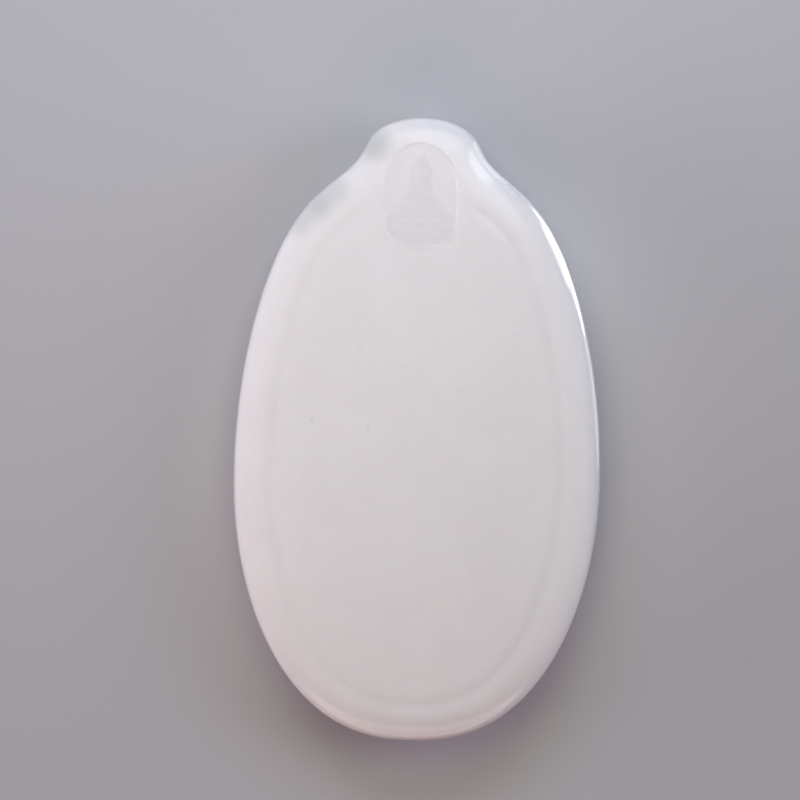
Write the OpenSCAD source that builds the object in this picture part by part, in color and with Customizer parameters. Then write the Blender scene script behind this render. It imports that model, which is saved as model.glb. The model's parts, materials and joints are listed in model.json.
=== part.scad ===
// A carved jade plaque: a long egg-shaped pendant with a waisted tab at the top, a fine line
// inside its rounded border and a small niche with a seated figure. It lies on its flat back.

/* [Plaque] */
// Length from the bottom tip to the top of the tab
plaque_length = 58; // [52:0.5:64]
// Greatest width
plaque_width = 34.1; // [31:0.1:38]
// Greatest thickness, at the middle of the face
plaque_thickness = 10; // [8.5:0.1:12]
// Height of the widest line above the bottom tip
widest_height = 24.5; // [23:0.5:26]
// Squareness of the lower half of the outline, where 2 is a plain ellipse
lower_squareness = 2.35; // [2:0.05:2.6]

/* [Waist under the tab] */
// How far the waist cuts into each side
waist_depth = 2.05; // [1.5:0.05:2.3]
// Distance from the top of the tab down to the deepest line of the waist
waist_drop = 4.3; // [4:0.1:4.6]
// How gently the waist runs out below its deepest line
waist_spread = 4.4; // [3.8:0.1:5]

/* [Edge and face] */
// Height of the outermost edge above the back
edge_height = 4.6; // [4:0.1:5]
// Width of the rounded edge on the front
front_round = 4.5; // [3.5:0.1:5]
// Squareness of the front's rounded edge, where 2 is a plain ellipse
front_squareness = 3.8; // [2.4:0.1:4.2]
// Rise of the domed face above its border
crown = 1.7; // [1:0.1:2]
// Width of the rounded edge on the back
back_round = 3.6; // [3:0.1:4]
// Squareness of the back's rounded edge
back_squareness = 2.4; // [2:0.1:3]

/* [Face line] */
// Distance of the line from the outermost edge
line_inset = 3.6; // [3.4:0.1:4]
// Width of the line
line_width = 1; // [0.8:0.1:1.2]
// Depth of the line
line_depth = 0.1; // [0.06:0.02:0.2]
// Height above the bottom tip at which the line has faded out
line_end = 50.6; // [48:0.1:50.8]
// Length over which it fades
line_fade = 2; // [2:0.5:5]

/* [Niche] */
// Width of the niche
niche_width = 7.1; // [6.7:0.1:7.5]
// Length of the niche
niche_length = 9.8; // [9.6:0.1:10.4]
// Distance from the top of the tab down to the top of the niche
niche_drop = 2.3; // [2.2:0.1:2.7]
// Depth of the niche's floor below the face, in its upper half
niche_depth = 0.28; // [0.2:0.02:0.5]
// Share of that depth at the niche's lower end
niche_low_share = 0.3; // [0.2:0.05:1]
// Width of the niche's sloping wall
niche_wall = 0.28; // [0.24:0.02:0.5]
// Squareness of the upper half of the niche
niche_squareness_above = 2.1; // [2:0.1:2.8]
// Squareness of the lower half of the niche
niche_squareness_below = 3.6; // [3:0.1:4]

/* [Cord hole] */
// Radius of the hole that runs from side to side through the waist
hole_radius = 1; // [0.8:0.05:1.1]
// Distance from the top of the tab down to the hole's axis
hole_drop = 3; // [2.8:0.1:3.4]
// Height of the hole's axis above the back
hole_height = 4.3; // [4:0.1:4.6]

/* [Fineness] */
// Number of rays from the outline to the niche, an even number
rays = 96; // [80:4:104]
// Cells across the niche, an even number
cells_across = 36; // [20:4:36]
// Cells along the niche, an even number
cells_along = 52; // [32:4:52]
// Share of the outline's points that is drawn towards the tab
tab_share = 0.5; // [0.4:0.05:0.6]

/* [Hidden] */
half_length = plaque_length / 2;
half_width = plaque_width / 2;
widest_y = widest_height - half_length;
upper_length = plaque_length - widest_height;
waist_y = half_length - waist_drop;
border_rise = plaque_thickness - crown - edge_height;
line_end_y = line_end - half_length;
niche_y = half_length - niche_drop - niche_length / 2;
hole_y = half_length - hole_drop;
jade_colour = [0.88, 0.87, 0.85];
pole = [0, niche_y];
// The mesh is rings round the niche, with one point of a ring on each ray that runs from the
// outline to the niche, and a grid of cells on the niche's floor.
edge_steps = 2 * (cells_across + cells_along);
// Distance between the rings over the face line
line_step = 0.28 * line_width;
// Rings over the rounded edges, as distances from the outline
front_rings = concat(
    [0, 0.01, 0.06, 0.18, 0.4, 0.75, 1.2, 1.75, 2.3],
    [for (i = [-3:3]) line_inset + i * line_step]
);
border_width = front_rings[len(front_rings) - 1];
back_rings = [0.08, 0.3, 0.7, 1.3, 2.2, 3.6];
// Rings between the border and the niche, as shares of the way inwards
field_rings = [0.2, 0.42, 0.64, 0.83, 0.95];
// Share of the way to the niche that the border's rings may take
border_share = 0.88;
// Height at which the rays start to turn to the niche's centre, and length of that turn
turn_start_y = line_end_y - 2;
turn_length = 4;
// Half-width of the niche's floor, as a share of the niche's half-width
floor_share = 1 - 2 * niche_wall / niche_width;
// Rings down the niche's wall, as sizes of the niche's oval
wall_rings = [for (i = [0:2]) 1 - i * (1 - floor_share) / 3];
// Straight pieces of the outline that distances are measured from
outline_steps = 288;
// Step in degrees over which the outline's direction is taken
normal_step = 0.2;
// Slack in degrees when a ray is set beside the points of the niche's edge
turn_slack = 0.01;
hole_sides = 48;
// Sharpness with which the figure's rounded forms meet
blend_power = 5;
// Steepness of each form's rim, where 0.5 is an ellipsoid
form_power = 0.8;
// Forms of the seated figure on its middle line, from the niche's centre: [x, y, half-width,
// half-height, turn, height above the niche's floor as a share of the niche's depth]
middle_forms = [
    [0, -3.35, 3.6, 1.9, 0, 0.56],  // Robe spread over the seat
    [0, -1.6, 2.75, 1.9, 0, 0.64],  // Cloak
    [0, -2.5, 0.75, 0.4, 0, 0.84],  // Hands in the lap
    [0, 0.5, 1.3, 1.6, 0, 0.6],     // Veil on the shoulders
    [0, 2.05, 1.12, 1.5, 0, 0.74],  // Veil over the head
    [0, 1.65, 0.8, 1.15, 0, 0.94],  // Head
    [0, 3.45, 0.46, 0.6, 0, 0.56]   // Topknot under the veil
];
// Forms on both sides of it, given for the right side
side_forms = [
    [1.3, -0.4, 1.25, 0.6, -55, 0.62], // Shoulder
    [2.3, -1.95, 1.2, 0.7, -50, 0.6],  // Cloak over the hip
    [1.42, -2.45, 1, 0.42, -14, 0.72], // Forearm under the cloak
    [2.2, -3.15, 1.15, 0.8, 14, 0.66], // Knee
    [1, -3.6, 1.4, 0.5, -8, 0.72]      // Shin and foot
];

// The waist, taken off the half-width: above its deepest line a raised cosine that ends at the
// top of the tab, and below it a curve that runs out slowly over the shoulders
function waist_cut(y) =
    let (
        above = min(1, max(0, (y - waist_y) / waist_drop)),
        below = max(0, waist_y - y) / waist_spread
    )
    waist_depth * (1 + cos(180 * above)) / 2 / pow(1 + below * below, 2);

// Outline point at angle t: an ellipse less the waist above the widest line, and below it an
// ellipse that is squarer at its sides
function outline(t) =
    let (c = cos(t), s = sin(t), upper_y = widest_y + upper_length * s)
    s >= 0
        ? [sign(c) * max(0, half_width * abs(c) - waist_cut(upper_y)), upper_y]
        : [sign(c) * half_width * pow(abs(c), 2 / lower_squareness), widest_y + widest_height * s];

// Inward normal of the outline at angle t
function inward(t) =
    let (d = outline(t + normal_step) - outline(t - normal_step))
    [-d[1], d[0]] / norm(d);

// Angle of ray j, which starts at the bottom tip and crowds the rays towards the tab
function ray_angle(j) =
    let (u = 360 * j / rays - 90)
    u + tab_share * cos(u) * 180 / PI;

outline_points = [for (i = [0:outline_steps - 1])
    let (u = 360 * i / outline_steps)
    outline(u + tab_share * cos(u) * 180 / PI)];

// Distance from point p to the straight line between points a and b
function line_distance(p, a, b) =
    let (ab = b - a, share = max(0, min(1, (p - a) * ab / (ab * ab))))
    norm(p - a - ab * share);

// Distance from a point inside the plaque to its outline
function edge_distance(p) =
    min([for (i = [0:outline_steps - 1])
        line_distance(p, outline_points[i], outline_points[(i + 1) % outline_steps])]);

// Rise of a rounded edge, from 0 at the outline to 1 at its full width
function rounding(d, width, squareness) =
    pow(1 - pow(max(0, 1 - d / width), squareness), 1 / squareness);

// Share of the crown: 1 at the middle of the face, falling to 0 on the ellipse through its ends
function crown_share(p) =
    let (v = p[1] - widest_y)
    1 - pow(p[0] / half_width, 2) - pow(v / (v > 0 ? upper_length : widest_height), 2);

// A smooth step from 0 to 1
function smooth(t) = let (k = min(1, max(0, t))) k * k * (3 - 2 * k);

// Depth of the face line: a round-bottomed valley that fades out at the shoulders
function line_cut(p, d) =
    line_depth * exp(-pow((d - line_inset) / (line_width / 2), 2)) * smooth((line_end_y - p[1]) / line_fade);

// Size of the niche's oval that passes through a point, where 1 is the niche's edge
function niche_size(p) =
    let (v = p[1] - niche_y, n = v > 0 ? niche_squareness_above : niche_squareness_below)
    pow(pow(abs(p[0]) / (niche_width / 2), n) + pow(abs(v) / (niche_length / 2), n), 1 / n);

// Height of one rounded form of the figure at a point
function form_height(p, f) =
    let (
        dx = p[0] - f[0],
        dy = p[1] - f[1],
        u = (dx * cos(f[4]) + dy * sin(f[4])) / f[2],
        v = (dy * cos(f[4]) - dx * sin(f[4])) / f[3],
        q = 1 - u * u - v * v
    )
    q > 0 ? f[5] * pow(q, form_power) : 0;

function sum(list) = [for (v = list) 1] * list;

// Height of the whole figure as a share: its forms joined by a power sum, which rounds the valleys
function figure_height(p) =
    let (
        q = [p[0], p[1] - niche_y],
        m = [abs(q[0]), q[1]],
        heights = concat(
            [for (f = middle_forms) form_height(q, f)],
            [for (f = side_forms) form_height(m, f)],
            [for (f = side_forms) form_height([-m[0], m[1]], f)]
        )
    )
    pow(sum([for (h = heights) pow(h, blend_power)]), 1 / blend_power);

// Depth of the niche's floor below the face, less the figure that stands on it. From the niche's
// middle down, the floor rises towards the face.
function niche_cut(p) =
    let (
        inside = smooth((1 - niche_size(p)) * niche_width / 2 / niche_wall),
        up = smooth(2 * (p[1] - niche_y) / niche_length + 1)
    )
    inside * niche_depth * (1 - figure_height(p)) * (niche_low_share + (1 - niche_low_share) * up);

// Height of the front at a point whose distance from the outline is d
function front_height(p, d) =
    edge_height
    + rounding(d, front_round, front_squareness) * (border_rise + crown * crown_share(p))
    - line_cut(p, d)
    - niche_cut(p);

function back_height(d) = edge_height * (1 - rounding(d, back_round, back_squareness));

// Column and row of point j on the edge of the niche's grid, from the bottom middle and
// counterclockwise
function edge_cell(j) =
    let (right = cells_across / 2, top = right + cells_along, left = top + cells_across, end = left + cells_along)
    j <= right ? [right + j, 0]
    : j <= top ? [cells_across, j - right]
    : j <= left ? [left - j, cells_along]
    : j <= end ? [0, end - j]
    : [j - end, 0];

// Place of a column and row of the niche's grid, as shares of the niche's half-width and
// half-length: a square grid in the middle that bends to the oval at its edge
function grid_share(cell) =
    let (
        a = 2 * cell[0] / cells_across - 1,
        b = 2 * cell[1] / cells_along - 1,
        m = max(abs(a), abs(b)),
        n = b > 0 ? niche_squareness_above : niche_squareness_below,
        size = m == 0 ? 1 : pow(pow(abs(a) / m, n) + pow(abs(b) / m, n), 1 / n)
    )
    [a, b] * (1 + (1 / size - 1) * m * m);

function niche_point(cell, size) =
    let (q = grid_share(cell) * size)
    [q[0] * niche_width / 2, niche_y + q[1] * niche_length / 2];

function raised(p) = [p[0], p[1], front_height(p, edge_distance(p))];

// Ray j: outline point, direction over the border, scale of the border, inner end of the
// border and the point where the line from there to the niche's centre meets the niche's edge.
// The direction is square to the outline along the face line, and turns to the niche's centre
// at the tab.
function ray(j) =
    let (
        t = ray_angle(j),
        rim = outline(t),
        straight = (pole - rim) / norm(pole - rim),
        share = smooth((rim[1] - turn_start_y) / turn_length),
        course = inward(t) * (1 - share) + straight * share,
        room = norm(rim - pole) * (1 - 1 / niche_size(rim)) * border_share,
        scale = min(1, room / border_width),
        inner = rim + course / norm(course) * border_width * scale
    )
    [rim, course / norm(course), scale, inner, pole + (inner - pole) / niche_size(inner)];

// Angle of a point round the niche's centre, counterclockwise from straight down
function turn(p) = let (a = atan2(p[0] - pole[0], pole[1] - p[1])) a < -turn_slack ? a + 360 : a;

// Two triangles between points a, b of one ring and c, d of the next ring inwards
function split(a, b, c, d, mirrored) = mirrored ? [[a, c, b], [b, c, d]] : [[a, c, d], [a, d, b]];

module jade_plaque() {
    all_rays = [for (j = [0:rays - 1]) ray(j)];
    back_points = [for (i = [len(back_rings) - 1:-1:0]) for (r = all_rays)
        let (p = r[0] + r[1] * back_rings[i] * r[2])
        [p[0], p[1], back_height(back_rings[i])]];
    border_points = [for (ring = front_rings) for (r = all_rays)
        let (p = r[0] + r[1] * ring * r[2])
        ring == 0 ? [p[0], p[1], edge_height] : raised(p)];
    field_points = [for (share = field_rings) for (r = all_rays) raised(r[3] + (r[4] - r[3]) * share)];
    wall_points = [for (size = wall_rings) for (j = [0:edge_steps - 1])
        raised(niche_point(edge_cell(j), size))];
    floor_points = [for (row = [0:cells_along]) for (column = [0:cells_across])
        raised(niche_point([column, row], floor_share))];
    rings = len(back_rings) + len(front_rings) + len(field_rings);
    last_ring = 1 + (rings - 1) * rays;
    first_wall = 1 + rings * rays;
    last_wall = first_wall + (len(wall_rings) - 1) * edge_steps;
    first_floor = last_wall + edge_steps;
    columns = cells_across + 1;
    floor_edge = [for (j = [0:edge_steps - 1])
        let (cell = edge_cell(j))
        first_floor + cell[1] * columns + cell[0]];
    // The last point of the niche's edge that each ray has passed, counterclockwise
    edge_turns = [for (j = [0:edge_steps - 1]) turn(niche_point(edge_cell(j), 1))];
    passed = [
        for (r = all_rays) len([for (a = edge_turns) if (a < turn(r[3]) + turn_slack) a]) - 1,
        edge_steps
    ];
    faces = concat(
        [for (j = [0:rays - 1]) [0, 1 + j, 1 + (j + 1) % rays]],
        [for (i = [0:rings - 2]) for (j = [0:rays - 1])
            let (a = 1 + i * rays + j, b = 1 + i * rays + (j + 1) % rays)
            each split(a, b, a + rays, b + rays, j >= rays / 2)],
        [for (j = [0:rays - 1]) for (k = [passed[j]:1:passed[j + 1] - 1])
            [last_ring + j, first_wall + k, first_wall + (k + 1) % edge_steps]],
        [for (j = [0:rays - 1])
            [last_ring + j, first_wall + passed[j + 1] % edge_steps, last_ring + (j + 1) % rays]],
        [for (i = [0:len(wall_rings) - 2]) for (j = [0:edge_steps - 1])
            let (a = first_wall + i * edge_steps + j, b = first_wall + i * edge_steps + (j + 1) % edge_steps)
            each split(a, b, a + edge_steps, b + edge_steps, j >= edge_steps / 2)],
        [for (j = [0:edge_steps - 1])
            let (k = (j + 1) % edge_steps)
            each split(last_wall + j, last_wall + k, floor_edge[j], floor_edge[k], j >= edge_steps / 2)],
        [for (row = [0:cells_along - 1]) for (column = [0:cells_across - 1])
            let (a = first_floor + row * columns + column)
            each split(a, a + 1, a + columns, a + columns + 1, column < cells_across / 2)]
    );
    points = concat(
        [[0, niche_y, 0]], back_points, border_points, field_points, wall_points, floor_points
    );
    color(jade_colour)
        difference() {
            polyhedron(points, faces);
            translate([0, hole_y, hole_height])
                rotate([0, 90, 0])
                    cylinder(r = hole_radius, h = plaque_width, center = true, $fn = hole_sides);
        }
}

jade_plaque();
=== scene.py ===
import json
import math

import bpy
import numpy as np
from mathutils import Matrix, Vector


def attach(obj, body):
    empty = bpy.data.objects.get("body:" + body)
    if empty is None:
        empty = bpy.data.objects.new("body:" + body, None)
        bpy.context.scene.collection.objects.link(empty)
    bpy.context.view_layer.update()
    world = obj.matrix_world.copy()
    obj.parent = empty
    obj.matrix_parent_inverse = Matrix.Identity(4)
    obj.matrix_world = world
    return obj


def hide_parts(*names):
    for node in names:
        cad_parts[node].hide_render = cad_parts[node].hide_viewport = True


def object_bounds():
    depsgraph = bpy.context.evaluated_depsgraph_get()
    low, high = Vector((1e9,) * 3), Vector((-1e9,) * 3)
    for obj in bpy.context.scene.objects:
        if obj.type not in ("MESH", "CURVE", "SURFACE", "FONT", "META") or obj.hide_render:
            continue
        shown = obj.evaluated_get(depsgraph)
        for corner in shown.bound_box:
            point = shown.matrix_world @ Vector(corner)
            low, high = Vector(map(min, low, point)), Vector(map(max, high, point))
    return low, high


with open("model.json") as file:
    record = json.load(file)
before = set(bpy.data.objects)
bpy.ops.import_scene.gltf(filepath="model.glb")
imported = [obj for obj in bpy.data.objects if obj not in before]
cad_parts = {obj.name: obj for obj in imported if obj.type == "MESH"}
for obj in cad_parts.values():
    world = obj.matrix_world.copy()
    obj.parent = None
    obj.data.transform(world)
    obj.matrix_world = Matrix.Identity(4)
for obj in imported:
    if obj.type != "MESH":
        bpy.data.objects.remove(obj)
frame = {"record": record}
cadLow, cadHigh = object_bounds()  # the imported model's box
mm = 0.001
holeMount = next(m for m in frame["record"]["mounts"] if m["name"] == "cord_hole")
print("frame loaded")

# The plaque: a domed oval with a waisted tab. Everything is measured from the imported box.
plaque = {
    "thickness": 10.0 * mm,
    "widestHeight": 24.5 * mm,  # height of the widest line above the bottom tip
    "lowerSquareness": 2.35,  # of the lower half of the outline, where 2 is an ellipse
    "waistDepth": 2.05 * mm,
    "waistDrop": 4.3 * mm,  # from the top down to the waist's deepest line
    "waistSpread": 4.4 * mm,  # how gently the waist runs out below that line
    "edgeHeight": 4.6 * mm,
    "frontRound": 4.5 * mm,
    "frontSquareness": 3.8,
    "crown": 1.7 * mm,
    "backRound": 3.6 * mm,
    "backSquareness": 2.4,
    "lineInset": 3.6 * mm,
    "lineWidth": 1.0 * mm,
    "lineDepth": 0.1 * mm,
    "lineEnd": 50.6 * mm,  # height above the bottom tip at which the line has faded out
    "lineFade": 2.0 * mm,
}
halfWidth = (cadHigh.x - cadLow.x) / 2
widestY = cadLow.y + plaque["widestHeight"]
upperLength = cadHigh.y - widestY
waistY = cadHigh.y - plaque["waistDrop"]
lineEndY = cadLow.y + plaque["lineEnd"]
borderRise = plaque["thickness"] - plaque["crown"] - plaque["edgeHeight"]

# The niche: an oval recess in the tab, squarer below than above
niche = {
    "width": 7.1 * mm,
    "length": 9.8 * mm,
    "drop": 2.3 * mm,  # from the top down to the niche's upper edge
    "depth": 0.28 * mm,
    "lowShare": 0.3,  # share of that depth at the niche's lower end
    "wall": 0.28 * mm,  # width of the sloping wall
    "squarenessAbove": 2.1,
    "squarenessBelow": 3.6,
}
nicheY = cadHigh.y - niche["drop"] - niche["length"] / 2
pole = np.array([0.0, nicheY])

# The mesh: rays from the outline to the pole, which is the niche's centre, and rings across them
fineness = {
    "rays": 576,
    "outlineSamples": 2400,
    "shareByLength": 0.5,  # how far the rays go by length along the outline rather than by direction
    "backRings": 12,
    "borderRings": 36,
    "fieldRings": 18,
    "nicheRings": 70,
    "borderWidth": 4.6 * mm,
    "borderShare": 0.88,  # share of the way to the niche that the border may take
    "turnStart": 2.0 * mm,  # below the face line's end, where the rays start to turn to the niche
    "turnLength": 4.0 * mm,
    "backEase": 1.8,  # how much closer together the rings lie towards the outline, where 1 is even
    "borderEase": 1.35,
    "slopeStep": 0.002,  # of the outline's angle, over which its direction is measured
    "sharpEdge": 42,  # degrees, above which an edge isn't shaded smooth
}


def smooth(t):
    # A smooth step: 3 t squared less 2 t cubed, held between 0 and 1
    k = np.clip(t, 0, 1)
    return k * k * (3 - 2 * k)


def waistCut(y):
    # Above the waist's line, a raised cosine that ends at the top of the tab; below it, one over the
    # square of 1 plus the squared way down, which runs out slowly over the shoulders
    above = np.clip((y - waistY) / plaque["waistDrop"], 0, 1)
    below = np.maximum(0, waistY - y) / plaque["waistSpread"]
    return plaque["waistDepth"] * (1 + np.cos(np.pi * above)) / 2 / (1 + below ** 2) ** 2


def outlinePoint(angle):
    # An ellipse less the waist above the widest line, and below it an ellipse that is squarer at its
    # sides, because the cosine is raised to a power
    c = np.cos(angle)
    s = np.sin(angle)
    y = widestY + np.where(s >= 0, upperLength, plaque["widestHeight"]) * s
    power = np.where(s >= 0, 1, 2 / plaque["lowerSquareness"])
    x = np.sign(c) * np.maximum(0, halfWidth * np.abs(c) ** power - waistCut(y) * (s >= 0))
    return np.stack([x, y], axis=-1)


def unit(v):
    # Each vector divided by its own length
    return v / np.linalg.norm(v, axis=-1, keepdims=True)


outlineAngles = np.linspace(-np.pi / 2, 1.5 * np.pi, fineness["outlineSamples"], endpoint=False)
outlineSamples = outlinePoint(outlineAngles)


def edgeDistance(points):
    # Distance from each point to the outline: to the nearest sample, then to the two straight pieces
    # of outline that meet there
    rows = points.reshape(-1, 2)
    count = len(outlineSamples)
    squares = (outlineSamples ** 2).sum(axis=1)
    found = np.empty(len(rows))
    step = 2000  # points at a time, to keep the arrays small
    for start in range(0, len(rows), step):
        part = rows[start:start + step]
        near = (squares - 2 * part @ outlineSamples.T).argmin(axis=1)
        best = np.full(len(part), np.inf)
        for side in (-1, 1):
            a = outlineSamples[near]
            along = outlineSamples[(near + side) % count] - a
            share = ((part - a) * along).sum(axis=1) / (along ** 2).sum(axis=1)
            foot = a + along * np.clip(share, 0, 1)[:, None]
            best = np.minimum(best, np.linalg.norm(part - foot, axis=1))
        found[start:start + step] = best
    return found.reshape(points.shape[:-1])


def rounding(distance, width, squareness):
    # Rise of a rounded edge: a quarter of a superellipse, 0 at the outline and 1 at its full width
    t = np.clip(1 - distance / width, 0, 1)
    return (1 - t ** squareness) ** (1 / squareness)


def crownShare(points):
    # 1 at the middle of the face, falling as a paraboloid to 0 on the ellipse through its four ends
    v = points[..., 1] - widestY
    reach = np.where(v > 0, upperLength, plaque["widestHeight"])
    return 1 - (points[..., 0] / halfWidth) ** 2 - (v / reach) ** 2


def lineShare(points, distance):
    # The face line: a bell curve across the distance from the outline, fading out at the shoulders
    bell = np.exp(-((distance - plaque["lineInset"]) / (plaque["lineWidth"] / 2)) ** 2)
    return bell * smooth((lineEndY - points[..., 1]) / plaque["lineFade"])


def nicheSize(points):
    # Size of the superellipse about the niche's centre that passes through a point, 1 at its edge
    v = points[..., 1] - nicheY
    n = np.where(v > 0, niche["squarenessAbove"], niche["squarenessBelow"])
    across = (np.abs(points[..., 0]) * 2 / niche["width"]) ** n
    return (across + (np.abs(v) * 2 / niche["length"]) ** n) ** (1 / n)


def nicheShare(points):
    # 0 on the face and 1 on the niche's floor, with a smooth step down the wall
    return smooth((1 - nicheSize(points)) * niche["width"] / 2 / niche["wall"])


def nicheDepth(points):
    # From the niche's middle down, its floor rises towards the face as a smooth step
    up = smooth(2 * (points[..., 1] - nicheY) / niche["length"] + 1)
    return niche["depth"] * (niche["lowShare"] + (1 - niche["lowShare"]) * up)


# The seated figure, in millimetres from the niche's centre. Its body is rounded forms, each x, y,
# half-width, half-height, turn in degrees and height above the floor as a share of the niche's depth.
figure = {
    "blendPower": 5,  # sharpness with which the forms meet
    "formPower": 0.8,  # steepness of each form's rim, where 0.5 is an ellipsoid
    "rim": 0.35,  # height up to which the details fade out
    "bendPieces": 12,  # straight pieces in a bent line
    "middle": [
        (0, -3.35, 3.6, 1.9, 0, 0.56),  # robe spread over the seat
        (0, -1.6, 2.75, 1.9, 0, 0.64),  # cloak
        (0, -2.5, 0.75, 0.4, 0, 0.84),  # hands in the lap
        (0, 0.5, 1.3, 1.6, 0, 0.6),  # veil on the shoulders
        (0, 2.05, 1.12, 1.5, 0, 0.74),  # veil over the head
        (0, 1.65, 0.8, 1.15, 0, 0.94),  # head
        (0, 3.45, 0.46, 0.6, 0, 0.56),  # topknot under the veil
    ],
    "sides": [
        (1.3, -0.4, 1.25, 0.6, -55, 0.62),  # shoulder
        (2.3, -1.95, 1.2, 0.7, -50, 0.6),  # cloak over the hip
        (1.42, -2.45, 1.0, 0.42, -14, 0.72),  # forearm under the cloak
        (2.2, -3.15, 1.15, 0.8, 14, 0.66),  # knee
        (1.0, -3.6, 1.4, 0.5, -8, 0.72),  # shin and foot
    ],
}
# Cut and raised lines on the figure's right side, repeated on its left: start x, y, end x, y, bend to
# the left of the way, half-width and height as a share, below 0 where the line is cut
figureLines = [
    (0.8, 0.8, 0.0, 2.86, -0.38, 0.08, 0.07),  # veil's edge round the face
    (0.8, 0.8, 1.25, -1.0, 0.1, 0.08, 0.06),  # veil's edge down to the chest
    (1.0, 2.5, 1.15, 0.5, -0.1, 0.07, -0.05),  # veil's fold beside the head
    (1.25, 0.2, 2.0, -1.3, -0.12, 0.08, -0.05),  # veil's fold over the shoulder
    (0.52, 0.2, 0.03, -1.15, -0.1, 0.08, 0.06),  # collar's edge
    (1.7, -1.2, 2.35, -2.4, -0.14, 0.08, -0.05),  # cloak's outer fold
    (1.2, -1.35, 1.5, -2.2, -0.1, 0.08, -0.05),  # cloak's inner fold
    (2.3, -2.35, 0.7, -2.8, 0.14, 0.09, -0.06),  # cloak's hem over the lap
    (3.0, -3.05, 1.4, -2.95, 0.2, 0.09, -0.05),  # robe over the knee, upper fold
    (3.05, -3.4, 1.05, -3.3, 0.22, 0.09, -0.05),  # robe over the knee, middle fold
    (2.5, -3.95, 0.3, -3.75, 0.2, 0.08, -0.05),  # robe's lower fold
    (0.5, -1.45, 0.42, -2.2, 0.04, 0.07, -0.04),  # robe over the belly
    (0.35, -2.55, 0.05, -2.62, 0.03, 0.06, -0.06),  # line between the hands
    (0.68, 1.95, 0.0, 2.36, 0.12, 0.07, 0.05),  # hair's edge over the brow
    (0.5, 2.2, 0.05, 2.7, 0.08, 0.05, -0.05),  # parted hair
    (0.42, 3.1, 0.0, 3.0, 0.05, 0.07, -0.07),  # veil's fold under the topknot
    (0.48, 1.65, 0.16, 1.62, 0.04, 0.05, -0.06),  # closed eye
    (0.54, 1.86, 0.13, 1.8, -0.07, 0.06, 0.04),  # brow
    (0.22, 0.94, 0.0, 0.92, 0.03, 0.045, -0.06),  # mouth
]
# Small raised forms of the face, with the columns of the body's forms and added on top of it
faceForms = [
    (0.0, 1.39, 0.09, 0.3, 0, 0.1),  # bridge of the nose
    (0.0, 1.18, 0.14, 0.11, 0, 0.08),  # tip of the nose
    (0.0, 0.83, 0.16, 0.07, 0, 0.04),  # lower lip
    (0.0, 0.63, 0.22, 0.16, 0, 0.06),  # chin
    (0.33, 1.67, 0.2, 0.12, -4, 0.05),  # right eyelid
    (-0.33, 1.67, 0.2, 0.12, 4, 0.05),  # left eyelid
    (0.4, 1.16, 0.26, 0.3, 0, 0.04),  # right cheek
    (-0.4, 1.16, 0.26, 0.3, 0, 0.04),  # left cheek
]


def formHeight(points, form, power):
    # An oval form at any turn: its height times a power of 1 less the squared distance from its centre
    x, y, halfAcross, halfAlong, turn, height = form
    c = math.cos(math.radians(turn))
    s = math.sin(math.radians(turn))
    dx = points[..., 0] - x
    dy = points[..., 1] - y
    u = (dx * c + dy * s) / halfAcross
    v = (dy * c - dx * s) / halfAlong
    return height * np.clip(1 - u * u - v * v, 0, 1) ** power


def lineDistance(points, line):
    # Distance to a bent line: a parabola between two points, taken as short straight pieces
    x1, y1, x2, y2, bend = line
    start = np.array([x1, y1])
    end = np.array([x2, y2])
    aside = np.array([y1 - y2, x2 - x1]) / np.hypot(x2 - x1, y2 - y1)
    t = np.linspace(0, 1, figure["bendPieces"] + 1)[:, None]
    bent = start + (end - start) * t + aside * bend * 4 * t * (1 - t)
    best = np.full(points.shape[:-1], np.inf)
    for a, b in zip(bent[:-1], bent[1:]):
        share = np.clip(((points - a) @ (b - a)) / ((b - a) @ (b - a)), 0, 1)
        foot = a + share[..., None] * (b - a)
        best = np.minimum(best, np.linalg.norm(points - foot, axis=-1))
    return best


def figureHeight(points):
    # Height above the niche's floor as a share of its depth: the body's forms joined by a power sum,
    # which rounds the valleys between them, then the face's forms and the lines, which fade where the
    # body ends
    q = (points - pole) / mm
    mirrored = np.stack([np.abs(q[..., 0]), q[..., 1]], axis=-1)
    opposite = mirrored * np.array([-1, 1])
    power = figure["blendPower"]
    total = sum(formHeight(q, form, figure["formPower"]) ** power for form in figure["middle"])
    for form in figure["sides"]:
        total = total + formHeight(mirrored, form, figure["formPower"]) ** power
        total = total + formHeight(opposite, form, figure["formPower"]) ** power
    body = total ** (1 / power)
    detail = sum(formHeight(q, form, 1.0) for form in faceForms)
    for x1, y1, x2, y2, bend, width, height in figureLines:
        apart = lineDistance(mirrored, (x1, y1, x2, y2, bend))
        detail = detail + height * np.exp(-(apart / width) ** 2)
    return body + detail * smooth(body / figure["rim"])


def frontHeight(points, distance):
    # The rounded edge carries the border's rise and the dome; the face line and the niche are cut in it
    rise = borderRise + plaque["crown"] * crownShare(points)
    edge = rounding(distance, plaque["frontRound"], plaque["frontSquareness"])
    height = plaque["edgeHeight"] + edge * rise - plaque["lineDepth"] * lineShare(points, distance)
    return height - nicheShare(points) * nicheDepth(points) * (1 - figureHeight(points))


def backHeight(distance):
    # The back's rounded edge falls from the outline's height to the flat back at 0
    return plaque["edgeHeight"] * (1 - rounding(distance, plaque["backRound"], plaque["backSquareness"]))


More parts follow.
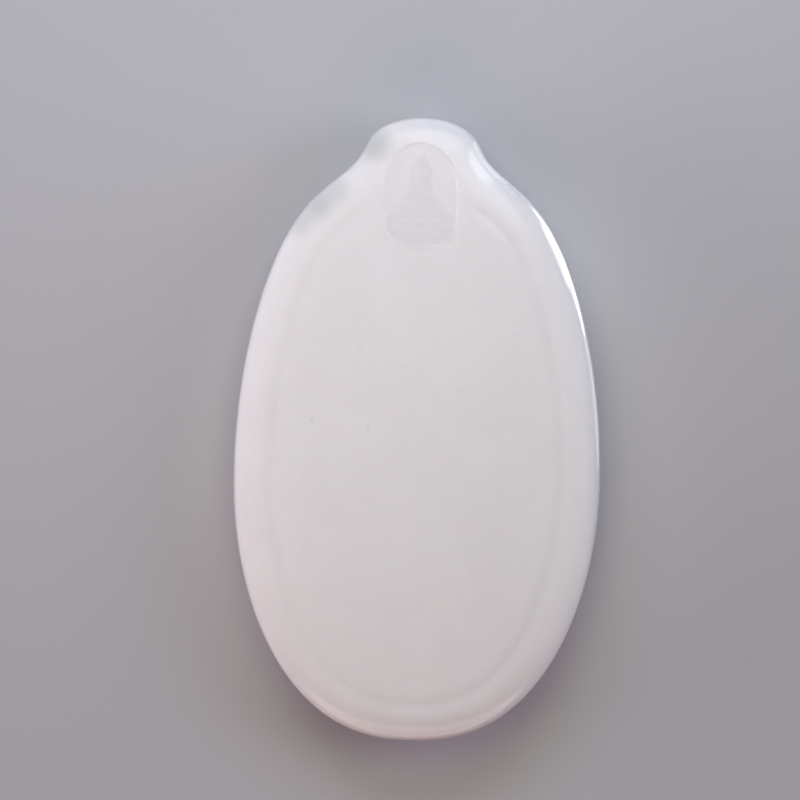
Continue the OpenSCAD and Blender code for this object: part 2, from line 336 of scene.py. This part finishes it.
def rayStarts():
    # Angles of the rays on the outline, evenly spread by a mean of length along the outline and of
    # direction from the niche's centre, starting at the bottom tip
    closed = np.vstack([outlineSamples, outlineSamples[:1]])
    angles = np.append(outlineAngles, 1.5 * np.pi)
    length = np.append(0, np.cumsum(np.linalg.norm(np.diff(closed, axis=0), axis=1)))
    away = closed - pole
    direction = np.unwrap(np.arctan2(away[:, 1], away[:, 0]))
    turned = (direction - direction[0]) / (2 * np.pi)
    share = fineness["shareByLength"]
    spread = share * length / length[-1] + (1 - share) * turned
    return np.interp(np.arange(fineness["rays"]) / fineness["rays"], spread, angles)


def easedOffsets(count, width, power):
    # Distances from the outline: the width times an even share raised to a power, which brings them
    # closer together at the outline
    return width * (np.arange(count) / (count - 1)) ** power


def shellRows():
    # Rows of points from the back over the edge to the niche's centre, one point of a row on each ray.
    # A ray leaves the outline square to it, and beside the tab it heads straight for the pole.
    start = rayStarts()
    rim = outlinePoint(start)
    onward = outlinePoint(start + fineness["slopeStep"]) - outlinePoint(start - fineness["slopeStep"])
    inward = unit(np.stack([-onward[:, 1], onward[:, 0]], axis=-1))
    straight = unit(pole - rim)
    turnShare = smooth((rim[:, 1] - lineEndY + fineness["turnStart"]) / fineness["turnLength"])[:, None]
    course = unit(inward * (1 - turnShare) + straight * turnShare)

    # Where the niche is near, the border's rings are drawn together
    room = np.linalg.norm(rim - pole, axis=1) * (1 - 1 / nicheSize(rim)) * fineness["borderShare"]
    scale = np.minimum(1, room / fineness["borderWidth"])[:, None]

    # The back's rounded edge, then the border, the field up to the niche's edge, and the niche
    backOffsets = easedOffsets(fineness["backRings"], plaque["backRound"], fineness["backEase"])
    backOffsets = backOffsets[:0:-1, None, None]
    backPlaces = rim + course * backOffsets * scale
    back = np.concatenate([backPlaces, backPlaces[..., :1] * 0 + backHeight(backOffsets)], axis=-1)
    borderOffsets = easedOffsets(fineness["borderRings"], fineness["borderWidth"], fineness["borderEase"])
    border = rim + course * borderOffsets[:, None, None] * scale
    inner = border[-1]
    nicheEdge = pole + (inner - pole) / nicheSize(inner)[:, None]
    fieldShares = smooth(np.arange(1, fineness["fieldRings"]) / fineness["fieldRings"])
    field = inner + (nicheEdge - inner) * fieldShares[:, None, None]
    nicheShares = 1 - np.arange(fineness["nicheRings"]) / fineness["nicheRings"]
    carved = pole + (nicheEdge - pole) * nicheShares[:, None, None]
    front = np.concatenate([border, field, carved])
    heights = frontHeight(front, edgeDistance(front))
    heights[0] = plaque["edgeHeight"]  # exactly, on the outline itself
    return np.concatenate([back, np.dstack([front, heights])])


def closedShell(name, rows, lowPole, highPole):
    # A closed mesh from rows of points: quads between the rows and a fan at each pole. The rows go
    # from the low pole to the high one, and each runs counterclockwise seen from the high pole.
    rowCount, rayCount = rows.shape[:2]
    points = np.vstack([rows.reshape(-1, 3), lowPole, highPole])
    ray = np.arange(rayCount)
    following = (ray + 1) % rayCount
    low = np.arange(rowCount - 1)[:, None] * rayCount
    high = low + rayCount
    quads = np.stack([low + ray, low + following, high + following, high + ray], axis=-1)
    lowFan = np.stack([np.full(rayCount, len(points) - 2), following, ray], axis=-1)
    last = (rowCount - 1) * rayCount
    highFan = np.stack([last + ray, last + following, np.full(rayCount, len(points) - 1)], axis=-1)
    mesh = bpy.data.meshes.new(name)
    faces = quads.reshape(-1, 4).tolist() + lowFan.tolist() + highFan.tolist()
    mesh.from_pydata(points.tolist(), [], faces)
    mesh.validate()
    piece = bpy.data.objects.new(name, mesh)
    bpy.context.scene.collection.objects.link(piece)
    return piece


# The cord hole: a bore from side to side whose mouths open out softly where a cord has polished them
cordHole = {
    "radius": holeMount["dims"]["r_mm"] * mm,
    "halfSpan": 5.45 * mm,  # to the mouth on the hole's axis
    "flare": 0.32 * mm,  # how much wider the bore is at its mouths
    "flareLength": 0.55 * mm,
    "overrun": 1.5 * mm,
    "widest": 1.3,  # way into the flare, as a share of its length, from which it grows no wider
    "flareRings": 13,
    "sides": 96,
}
holePlace = Vector(holeMount["pos_m"])


def cordCutter():
    # A turned bar along X: its radius grows towards both ends as the square of the way into the flare
    flareStart = cordHole["halfSpan"] - cordHole["flareLength"]
    half = np.linspace(flareStart, cordHole["halfSpan"] + cordHole["overrun"], cordHole["flareRings"])
    along = np.concatenate([-half[::-1], [0], half])
    into = np.clip((np.abs(along) - flareStart) / cordHole["flareLength"], 0, cordHole["widest"])
    radius = (cordHole["radius"] + cordHole["flare"] * into ** 2)[:, None]
    turn = np.arange(cordHole["sides"]) / cordHole["sides"] * 2 * np.pi
    x = np.repeat(along[:, None], len(turn), axis=1)
    rows = np.stack([x, radius * np.cos(turn), radius * np.sin(turn)], axis=-1)
    centre = np.array(holePlace)
    left = centre + [along[0], 0, 0]
    right = centre + [along[-1], 0, 0]
    return closedShell("cordCutter", rows + centre, left, right)


def subtract(solid, cutter):
    # The solid keeps what is left of it outside the cutter, and the cutter is deleted
    modifier = solid.modifiers.new("bore", "BOOLEAN")
    modifier.operation = "DIFFERENCE"
    modifier.solver = "EXACT"
    modifier.object = cutter
    graph = bpy.context.evaluated_depsgraph_get()
    cut = bpy.data.meshes.new_from_object(solid.evaluated_get(graph))
    solid.modifiers.clear()
    old = solid.data
    solid.data = cut
    bpy.data.meshes.remove(old)
    bpy.data.objects.remove(cutter)


def makePlaque():
    # The bored shell, with three values from 0 to 1 at its points that the jade's finish reads
    centre = pole[None]
    low = [*pole, 0]
    high = [*pole, frontHeight(centre, edgeDistance(centre))[0]]
    piece = closedShell("jadePlaque", shellRows(), low, high)
    subtract(piece, cordCutter())
    mesh = piece.data
    mesh.name = "jadePlaque"
    mesh.shade_smooth()
    mesh.set_sharp_from_angle(angle=math.radians(fineness["sharpEdge"]))
    points = np.empty(len(mesh.vertices) * 3, np.float32)
    mesh.vertices.foreach_get("co", points)
    points = points.reshape(-1, 3).astype(float)
    flat = points[:, :2]
    front = points[:, 2] > plaque["edgeHeight"]
    places = {
        # mask of the painted shade in the face line's groove
        "faceLineShade": lineShare(flat, edgeDistance(flat)) * front,
        # mask of the painted light and of the added roughness on the niche's floor
        "nicheFloor": nicheShare(flat) * front,
        # mask of the painted shade on the carved figure
        "figureShadeMask": smooth(figureHeight(flat) / figure["rim"]) * front,
    }
    for name, values in places.items():
        mesh.attributes.new(name, "FLOAT", "POINT").data.foreach_set("value", values.astype(np.float32))
    print("plaque made with", len(mesh.polygons), "faces")
    return piece


def plug(tree, value, target):
    # A wire is linked to the socket, and any other value is set in it
    if isinstance(value, Wire):
        tree.links.new(value.socket, target)
    else:
        target.default_value = value


class Wire:
    # An output socket used in Python expressions: each operator adds its Math node

    def __init__(self, tree, socket):
        self.tree = tree
        self.socket = socket

    def other(self, name):
        # Another output of the same node
        return Wire(self.tree, self.socket.node.outputs[name])

    def combine(self, operation, first, second):
        node = self.tree.nodes.new("ShaderNodeMath")
        node.operation = operation
        plug(self.tree, first, node.inputs[0])
        plug(self.tree, second, node.inputs[1])
        return Wire(self.tree, node.outputs[0])

    def __add__(self, other):
        return self.combine("ADD", self, other)

    def __sub__(self, other):
        return self.combine("SUBTRACT", self, other)

    def __rsub__(self, other):
        return self.combine("SUBTRACT", other, self)

    def __mul__(self, other):
        return self.combine("MULTIPLY", self, other)

    __radd__ = __add__
    __rmul__ = __mul__


class Finish:
    # A material that is built node by node

    def __init__(self, name):
        self.material = bpy.data.materials.new(name)
        self.material.use_nodes = True
        self.tree = self.material.node_tree
        self.tree.nodes.clear()

    def node(self, kind, settings=None, sockets=None, output=0):
        # Any node: its settings first, then the values or wires of its sockets. The output comes
        # back as a wire.
        made = self.tree.nodes.new("ShaderNode" + kind)
        for name, value in (settings or {}).items():
            setattr(made, name, value)
        for name, value in (sockets or {}).items():
            plug(self.tree, value, made.inputs[name])
        return Wire(self.tree, made.outputs[output]) if made.outputs else None

    def mix(self, share, first, second):
        # Two colours mixed by a share; sockets 0, 6 and 7 are the factor and the two colours
        sockets = {0: share, 6: first, 7: second}
        return self.node("Mix", {"data_type": "RGBA"}, sockets, output=2)

    def noise(self, place, scale, detail=2.0, roughness=0.5, distortion=0.0):
        return self.node("TexNoise", None, {
            "Vector": place,
            "Scale": scale,
            "Detail": detail,
            "Roughness": roughness,
            "Distortion": distortion,
        })

    def attribute(self, name):
        # A value from 0 to 1 that the mesh carries at its points
        return self.node("Attribute", {"attribute_name": name}, output="Fac")

    def between(self, value, low, high):
        # 0 below low, 1 above high and a smooth step between them
        settings = {"interpolation_type": "SMOOTHSTEP"}
        return self.node("MapRange", settings, {"Value": value, "From Min": low, "From Max": high})


# White nephrite: milky stone with faint clouds, felted fibres and a few dark grains, waxed and polished
jade = {
    "milk": (0.868, 0.850, 0.842, 1),
    "cloud": (0.882, 0.866, 0.858, 1),
    # the stone's hazier tone, also used as painted shade in the face line's groove
    "hazeAndLineShade": (0.830, 0.818, 0.814, 1),
    "paintedNicheLight": (0.890, 0.860, 0.872, 1),  # painted light on the niche's floor and wall, which evens out their shade
    "shadeAndSpeckGrey": (0.62, 0.645, 0.625, 1),  # painted shade on the carved figure and at the shaded places, and the grey of the small specks
    "grain": (0.42, 0.40, 0.39, 1),
    "ground": (0.62, 0.62, 0.63, 1),  # the unpolished inside of the cord hole
    "clouds": {"scale": 150.0, "detail": 4, "roughness": 0.55, "distortion": 0.7},
    "cloudRange": (0.42, 0.62),  # of the noise, over which the cloud comes in
    "fibres": {"scale": 420.0, "detail": 5, "roughness": 0.6, "distortion": 1.2},
    "fibreTurn": (0.3, 0.2, math.radians(28)),
    "fibreStretch": (1.0, 0.28, 0.6),
    "fibreRange": (0.5, 0.72),
    "fibreHaze": 0.25,  # how much haze the fibres carry
    "mottle": {"scale": 1500.0},
    "mottleRange": (0.45, 0.8),
    "mottleHaze": 0.15,
    "linePaintedShade": 0.3,  # painted shade in the face line's groove
    "floorPaintedLight": 0.9,  # of the painted light on the niche's floor and wall
    "figurePaintedShade": 0.26,  # painted shade on the carved figure
    "spotCore": 0.15,  # share of a painted shade place's or speck's radius that is at full strength
    "grainScale": 210.0,
    "grainSize": 0.045,
    "grainCore": 0.4,  # share of a grain's size that is at full strength
    "grainStrength": 0.55,
    "patchScale": 75.0,  # of the noise that picks the places where grains lie
    "patchRange": (0.55, 0.6),
    "holeRange": (1.02 * cordHole["radius"], 1.12 * cordHole["radius"]),  # where the polish begins
    "roughness": 0.17,
    "mottleRoughness": 0.04,
    "holeRoughness": 0.3,
    "nicheRoughness": 0.3,  # added on the niche's floor, which a polishing wheel can't reach
    "relief": 0.03 * mm,
    "reliefStrength": 0.08,
    "mottleRelief": 0.6,  # shares of the mottle and of the fibres in the relief
    "fibreRelief": 0.4,
    "ior": 1.61,
    "scatter": 3.2 * mm,
    "scatterByColour": (1.0, 0.92, 0.88),  # red light goes furthest in the stone
}
# Painted shade places and small grey specks in the stone: x, y, z in millimetres, radius and strength
shadeSpotsAndSpecks = [
    (-4.3, 26.3, 7.6, 2.4, 1.0),  # painted shade beside the hole's left mouth
    (-11.0, 18.9, 7.4, 2.1, 0.6),  # painted shade along the left shoulder
    (-9.4, 20.6, 7.6, 2.3, 0.9),
    (-7.8, 21.9, 7.8, 2.0, 0.6),
    (0.35, 24.8, 8.4, 1.4, 0.8),  # painted shade in the topknot
    (-7.6, 8.6, 9.6, 0.32, 0.4),  # small specks in the face
    (-10.9, 8.0, 9.0, 0.2, 0.35),
    (-5.2, 7.7, 9.7, 0.45, 0.15),
    (-2.3, 6.2, 9.9, 0.25, 0.25),
    (-9.6, 0.8, 9.4, 0.42, 0.3),
    (-4.4, 0.2, 9.9, 0.4, 0.25),
    (6.2, 0.7, 9.8, 0.3, 0.2),
    (5.2, 22.3, 8.4, 0.28, 0.3),
    (15.2, 7.2, 7.4, 0.25, 0.4),
    (15.9, 2.6, 7.3, 0.3, 0.4),
]


def jadeFinish():
    # The milky stone with its clouds, fibres and mottle
    stone = Finish("whiteJade")
    place = stone.node("TexCoord", output="Object")
    clouds = stone.noise(place, **jade["clouds"])
    stretched = stone.node("Mapping", None, {
        "Vector": place,
        "Rotation": jade["fibreTurn"],
        "Scale": jade["fibreStretch"],
    })
    fibres = stone.noise(stretched, **jade["fibres"])
    mottle = stone.noise(place, **jade["mottle"])
    colour = stone.mix(stone.between(clouds, *jade["cloudRange"]), jade["milk"], jade["cloud"])
    fibreHaze = stone.between(fibres, *jade["fibreRange"]) * jade["fibreHaze"]
    colour = stone.mix(fibreHaze, colour, jade["hazeAndLineShade"])
    mottleHaze = stone.between(mottle, *jade["mottleRange"]) * jade["mottleHaze"]
    colour = stone.mix(mottleHaze, colour, jade["hazeAndLineShade"])

    # The painted shade places and the small grey specks, each fading out from its core, and the grains,
    # in a few patches only
    for x, y, z, radius, strength in shadeSpotsAndSpecks:
        centre = (x * mm, y * mm, z * mm)
        sockets = {0: place, 1: centre}
        apart = stone.node("VectorMath", {"operation": "DISTANCE"}, sockets, output="Value")
        spot = 1 - stone.between(apart, radius * mm * jade["spotCore"], radius * mm)
        colour = stone.mix(spot * strength, colour, jade["shadeAndSpeckGrey"])
    sockets = {"Vector": place, "Scale": jade["grainScale"]}
    grains = stone.node("TexVoronoi", None, sockets, output="Distance")
    isGrain = 1 - stone.between(grains, jade["grainSize"] * jade["grainCore"], jade["grainSize"])
    chosen = stone.between(stone.noise(place, jade["patchScale"]), *jade["patchRange"])
    colour = stone.mix(isGrain * chosen * jade["grainStrength"], colour, jade["grain"])

    # Painted shade in the face line and on the carved figure and painted light on the niche's floor, as
    # the mesh marks them, and the inside of the hole, by distance from its axis
    faceLineShade = stone.attribute("faceLineShade")
    nicheFloor = stone.attribute("nicheFloor")
    figureShadeMask = stone.attribute("figureShadeMask")
    # painted shade in the face line's groove
    colour = stone.mix(faceLineShade * jade["linePaintedShade"], colour, jade["hazeAndLineShade"])
    # painted light that lifts the niche's floor and wall out of their shade
    colour = stone.mix(nicheFloor * jade["floorPaintedLight"], colour, jade["paintedNicheLight"])
    # painted shade on the carved figure
    colour = stone.mix(figureShadeMask * jade["figurePaintedShade"], colour, jade["shadeAndSpeckGrey"])
    parts = stone.node("SeparateXYZ", None, {0: place})
    across = parts.other("Y") - holePlace.y
    up = parts.other("Z") - holePlace.z
    fromHole = stone.node("Math", {"operation": "SQRT"}, {0: across * across + up * up})
    inHole = 1 - stone.between(fromHole, *jade["holeRange"])
    colour = stone.mix(inHole, colour, jade["ground"])

    # The polish and its fine relief
    roughness = jade["roughness"] + mottle * jade["mottleRoughness"] + inHole * jade["holeRoughness"]
    roughness = roughness + nicheFloor * jade["nicheRoughness"]
    bump = stone.node("Bump", None, {
        "Strength": jade["reliefStrength"],
        "Distance": jade["relief"],
        "Height": mottle * jade["mottleRelief"] + fibres * jade["fibreRelief"],
    }, output="Normal")
    surface = stone.node("BsdfPrincipled", {"subsurface_method": "RANDOM_WALK"}, {
        "Base Color": colour,
        "Roughness": roughness,
        "IOR": jade["ior"],
        "Subsurface Weight": 1.0,
        "Subsurface Radius": jade["scatterByColour"],
        "Subsurface Scale": jade["scatter"],
        "Normal": bump,
    })
    stone.node("OutputMaterial", None, {"Surface": surface})
    print("jade finish made")
    return stone.material


plaquePiece = makePlaque()
plaquePiece.data.materials.clear()
plaquePiece.data.materials.append(jadeFinish())
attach(plaquePiece, "root")
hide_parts("jade_plaque")

# The studio: a pale floor that rises into a round wall far away, soft lights and an even sky
studio = {
    "innerRadius": 0.05,  # metres, as the next three, out to the first ring
    "flatRadius": 0.9,
    "wallRadius": 1.5,
    "wallHeight": 0.7,
    "flatRings": 8,
    "wallRings": 23,
    "sides": 128,
    "floorColour": (0.50, 0.50, 0.515, 1),
    "toothColour": (0.44, 0.44, 0.455, 1),
    "tooth": {"scale": 900.0, "detail": 3},  # the paper's fine grain
    "toothShare": 0.06,
    "sky": (1.0, 1.0, 1.0, 1),
    "skyStrength": 0.03,
}


def makeFloor():
    # A turned profile: flat at first, then a quarter of an ellipse up to the wall's top
    sides = studio["sides"]
    flat = np.linspace(studio["innerRadius"], studio["flatRadius"], studio["flatRings"])
    rise = np.linspace(0, np.pi / 2, studio["wallRings"] + 1)[1:]
    reach = studio["wallRadius"] - studio["flatRadius"]
    radius = np.append(flat, studio["flatRadius"] + reach * np.sin(rise))
    height = np.append(flat * 0, studio["wallHeight"] * (1 - np.cos(rise)))
    turn = np.arange(sides) / sides * 2 * np.pi
    x = np.outer(radius, np.cos(turn))
    y = np.outer(radius, np.sin(turn))
    rows = np.stack([x, y, np.outer(height, np.ones(sides))], axis=-1)
    points = np.vstack([rows.reshape(-1, 3), [0, 0, 0]])
    ray = np.arange(sides)
    following = (ray + 1) % sides
    inner = np.arange(len(radius) - 1)[:, None] * sides
    outer = inner + sides
    quads = np.stack([inner + ray, outer + ray, outer + following, inner + following], axis=-1)
    fan = np.stack([np.full(sides, len(points) - 1), ray, following], axis=-1)
    mesh = bpy.data.meshes.new("studioFloor")
    mesh.from_pydata(points.tolist(), [], quads.reshape(-1, 4).tolist() + fan.tolist())
    mesh.shade_smooth()
    floor = bpy.data.objects.new("studioFloor", mesh)
    bpy.context.scene.collection.objects.link(floor)
    paper = Finish("palePaper")
    place = paper.node("TexCoord", output="Object")
    tooth = paper.noise(place, **studio["tooth"]) * studio["toothShare"]
    colour = paper.mix(tooth, studio["floorColour"], studio["toothColour"])
    matte = {"Base Color": colour, "Roughness": 1.0, "Specular IOR Level": 0.0}
    surface = paper.node("BsdfPrincipled", None, matte)
    paper.node("OutputMaterial", None, {"Surface": surface})
    mesh.materials.append(paper.material)
    print("floor laid")


# Softboxes light the stone and aren't mirrored in its polish: each has its place, width and length in
# metres, power in watts and colour, and faces the plaque's middle
softboxMiddle = (0, 0.004, 0.006)
softboxes = {
    "topSoftbox": ((-0.01, 0.11, 0.12), (0.16, 0.06), 0.143, (0.695, 0.705, 1.0)),
    "overheadSoftbox": ((0.0, 0.06, 0.16), (0.10, 0.10), 0.059, (0.90, 1.0, 0.36)),
    "leftSoftbox": ((-0.28, 0.0, 0.07), (0.24, 0.08), 0.420, (0.965, 0.896, 1.0)),
    "rightSoftbox": ((0.32, 0.05, 0.20), (0.20, 0.24), 0.540, (0.755, 0.805, 1.0)),
    "frontSoftbox": ((0.0, -0.32, 0.30), (0.30, 0.20), 0.391, (1.0, 0.55, 0.555)),
}
# Shines are oval and only mirrored in the polish: each has its place, the place that it faces, width
# and length in millimetres, brightness in watts per square metre and colour
shines = {
    "edgeShine": ((15.8, 16.6, 2.8), (13.8, 15.8, 2.8), (15.0, 5.4), 19.0, (0.97, 0.98, 1.0)),
    "edgeCoreShine": ((15.2, 17.7, 6.0), (13.2, 16.7, 6.0), (7.5, 3.0), 16.0, (0.97, 0.98, 1.0)),
    "sideShine": ((18.9, 4.2, 2.8), (16.5, 4.0, 2.8), (16.0, 5.2), 2.9, (0.97, 0.98, 1.0)),
    "slopeShine": ((9.5, 23.7, 1.7), (8.6, 22.8, 1.7), (13.0, 3.2), 2.2, (0.97, 0.97, 1.0)),
    "tabEdgeShine": ((9.1, 27.5, 3.5), (5.6, 25.5, 3.5), (4.0, 6.0), 5.0, (1.0, 1.0, 1.0)),
    "topEdgeShine": ((0.0, 33.5, 3.0), (0.0, 29.0, 3.0), (16.0, 6.0), 2.0, (1.0, 1.0, 1.0)),
    "neckShine": ((9.0, 27.6, 9.9), (4.9, 24.7, 8.0), (2.0, 6.2), 13.0, (0.86, 0.88, 1.0)),
    "tabShine": ((50.0, 187.0, 199.0), (0.0, 26.0, 8.0), (240.0, 240.0), 4.6, (1.0, 0.98, 1.0)),
    "tipShine": ((0.0, -41.0, 10.0), (0.0, -29.0, 10.0), (56.0, 17.0), 5.2, (1.0, 0.97, 0.97)),
}


def hangLamp(name, shape, place, aim, size, power, colour):
    # A flat lamp that faces a place and isn't seen itself
    lamp = bpy.data.lights.new(name, "AREA")
    lamp.shape = shape
    lamp.size, lamp.size_y = size
    lamp.energy = power
    lamp.color = colour
    holder = bpy.data.objects.new(name, lamp)
    holder.location = place
    holder.rotation_euler = (Vector(aim) - Vector(place)).to_track_quat("-Z", "Y").to_euler()
    holder.visible_camera = False
    bpy.context.scene.collection.objects.link(holder)
    return holder


def makeLights():
    # A shine's power is its brightness times the area of its ellipse
    for name, (place, size, power, colour) in softboxes.items():
        softbox = hangLamp(name, "RECTANGLE", place, softboxMiddle, size, power, colour)
        softbox.visible_glossy = False
    for name, (place, aim, (width, length), brightness, colour) in shines.items():
        size = (width * mm, length * mm)
        power = brightness * math.pi / 4 * size[0] * size[1]
        shine = hangLamp(name, "ELLIPSE", Vector(place) * mm, Vector(aim) * mm, size, power, colour)
        shine.visible_diffuse = False
    world = bpy.data.worlds.new("sky")
    bpy.context.scene.world = world
    world.use_nodes = True
    sky = world.node_tree.nodes["Background"]
    sky.inputs["Color"].default_value = studio["sky"]
    sky.inputs["Strength"].default_value = studio["skyStrength"]
    bpy.context.scene.view_settings.view_transform = "Standard"
    print("studio lit with", len(softboxes) + len(shines), "lights")


# The camera stands almost square over the face, a little to its right and towards the tab
view = {
    "rightward": 3.0,  # degrees, as the next two
    "towardTab": 2.5,
    "lean": 1.16,  # by which the plaque's top leans to the right in the picture
    "distance": 0.46,  # metres
    "frameWidth": 74.5 * mm,
    "aimAside": (-1.65 * mm, 2.73 * mm),  # from the plaque's middle to the middle of the picture
    "sensor": 36.0,
    "nearest": 0.01,
    "farthest": 20.0,
}


def makeCamera():
    # Turned and raised are the picture's right and up, once the lean is in them
    middle = (cadLow + cadHigh) / 2
    right = math.radians(view["rightward"])
    up = math.radians(view["towardTab"])
    back = Vector((math.sin(right), math.sin(up), math.cos(right) * math.cos(up))).normalized()
    data = bpy.data.cameras.new("camera")
    data.sensor_width = view["sensor"]
    data.lens = view["sensor"] * view["distance"] / view["frameWidth"]
    data.clip_start = view["nearest"]
    data.clip_end = view["farthest"]
    across = Vector((0, 1, 0)).cross(back).normalized()
    upward = back.cross(across)
    lean = math.radians(view["lean"])
    turned = across * math.cos(lean) + upward * math.sin(lean)
    raised = upward * math.cos(lean) - across * math.sin(lean)
    aim = middle + turned * view["aimAside"][0] + raised * view["aimAside"][1]
    camera = bpy.data.objects.new("camera", data)
    spin = Matrix((turned, raised, back)).transposed()
    camera.matrix_world = Matrix.Translation(aim + back * view["distance"]) @ spin.to_4x4()
    bpy.context.scene.collection.objects.link(camera)
    bpy.context.scene.camera = camera
    print("camera set")


makeFloor()
makeLights()
makeCamera()
